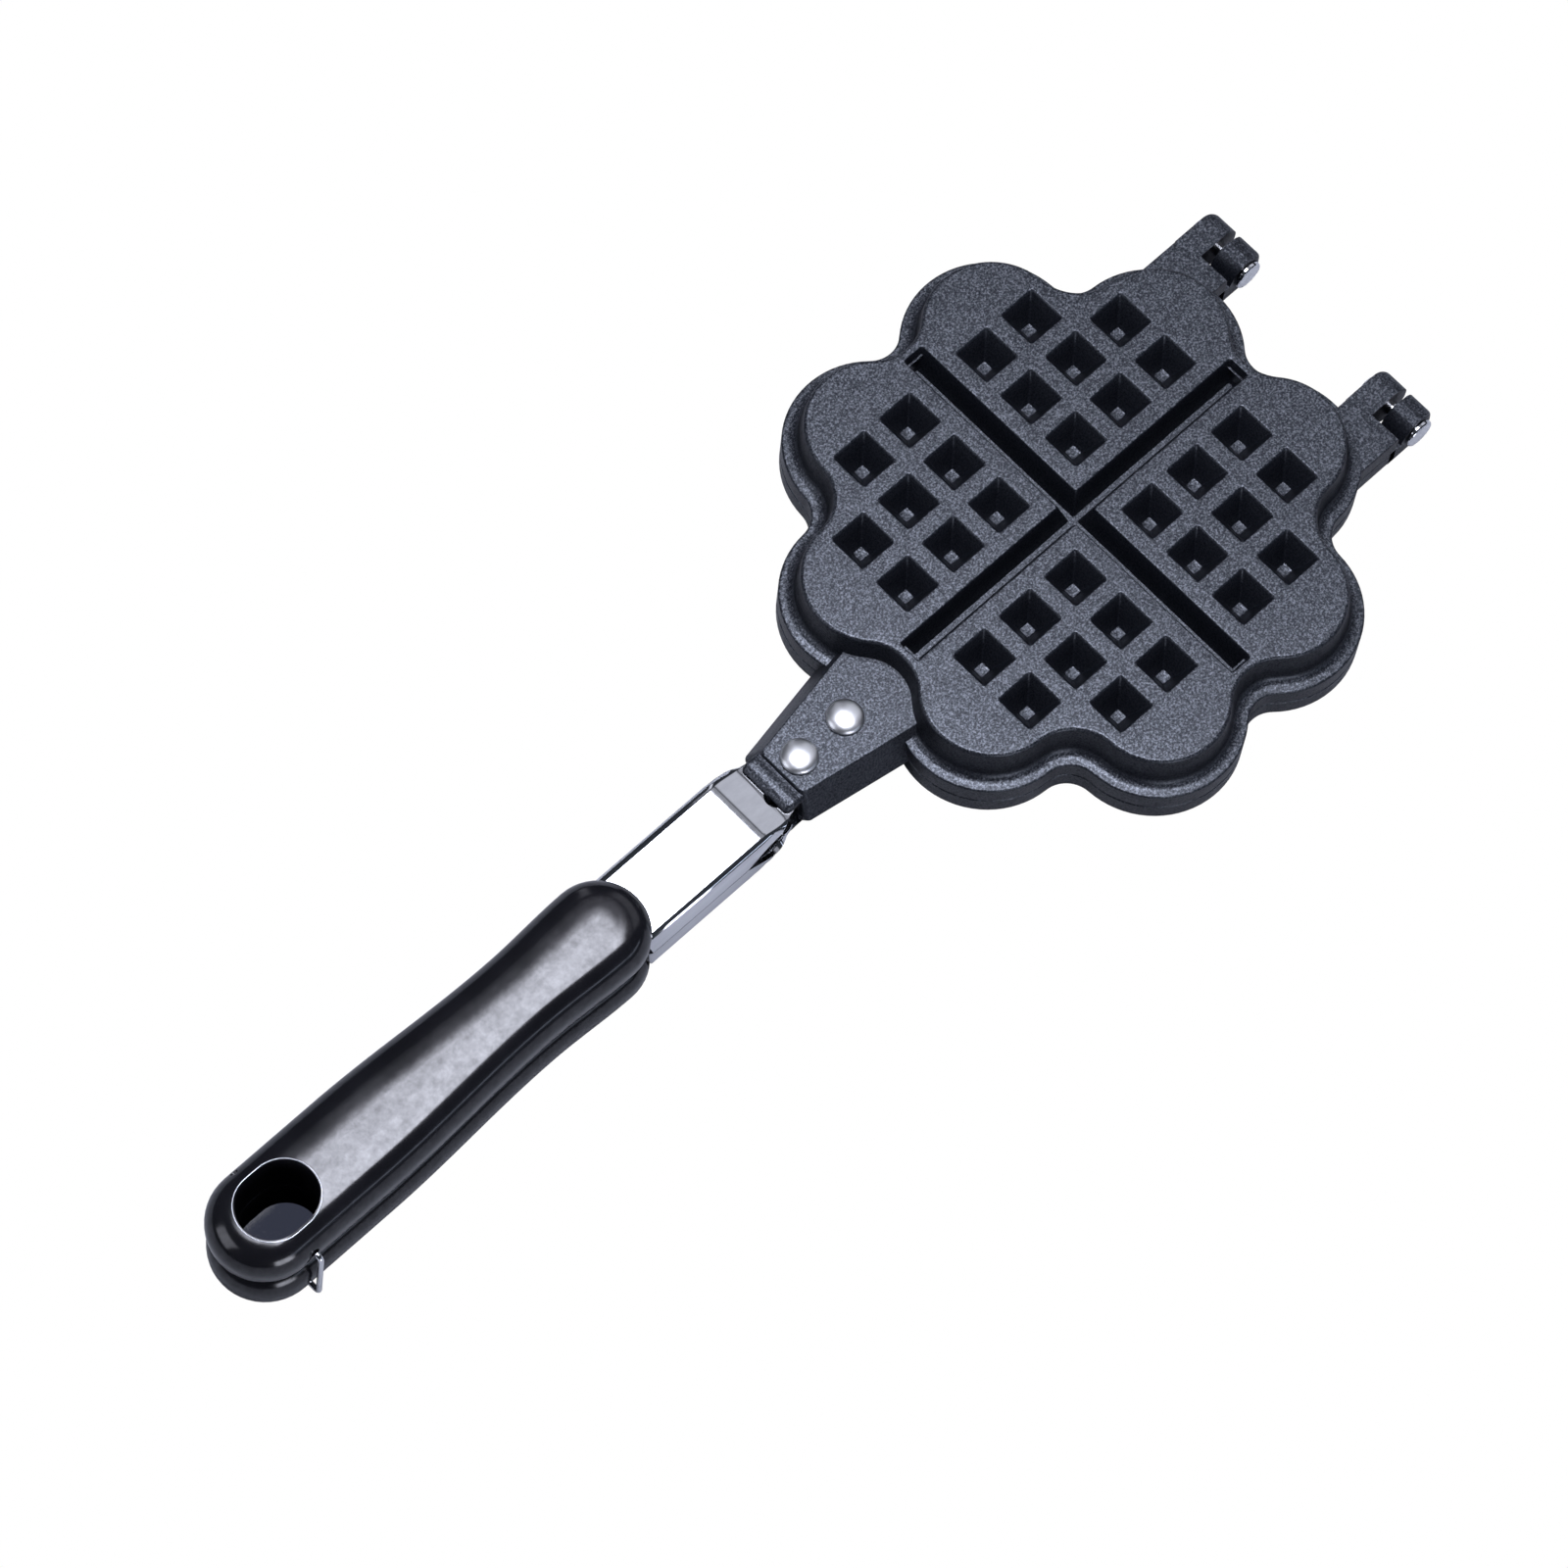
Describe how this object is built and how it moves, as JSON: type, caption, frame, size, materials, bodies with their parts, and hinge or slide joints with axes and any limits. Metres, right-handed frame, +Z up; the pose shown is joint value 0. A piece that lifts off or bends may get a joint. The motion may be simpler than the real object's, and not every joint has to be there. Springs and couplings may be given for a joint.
{
  "type": "stovetop waffle iron",
  "caption": "Hinged stovetop waffle iron with flower-shaped non-stick plates, steel tangs, moulded half grips and a wire locking clip.",
  "frame": {"origin": "middle of the bounding box's base, under the closed iron lying flat on its lower plate", "axes": "+X along the handle towards the hinge, +Z up out of the upper plate, +Y to the left seen from the handle looking to the hinge"},
  "size_m": [0.3796, 0.1474, 0.0328],
  "materials": {
    "non_stick_coating": "satin dark non-stick coating on cast aluminium",
    "black_bakelite": "gloss moulded phenolic",
    "polished_steel": "polished stainless steel",
    "rivet_aluminium": "satin solid aluminium rivet"
  },
  "bodies": {
    "lower_half": {"lower_pan": "non_stick_coating", "lower_tang": "polished_steel", "lower_rivet_plate_side": "rivet_aluminium", "lower_rivet_tang_side": "rivet_aluminium", "lower_grip": "black_bakelite", "lower_grip_screw": "polished_steel", "hinge_pin_left": "polished_steel", "hinge_pin_right": "polished_steel"},
    "upper_half": {"upper_pan": "non_stick_coating", "upper_tang": "polished_steel", "upper_rivet_plate_side": "rivet_aluminium", "upper_rivet_tang_side": "rivet_aluminium", "upper_grip": "black_bakelite", "upper_grip_screw": "polished_steel"},
    "clip": {"locking_clip": "polished_steel"}
  },
  "joints": [
    {"name": "pan_hinge", "type": "hinge", "parent": "lower_half", "child": "upper_half", "pos_m": [0.18386, 0, 0.0164], "axis": [0, 1, 0], "range_deg": [0, 180]},
    {"name": "clip_swing", "type": "hinge", "parent": "lower_half", "child": "clip", "pos_m": [-0.17326, -0.0165, 0.0042], "axis": [0, 1, 0], "range_deg": [-90, 0]}
  ]
}
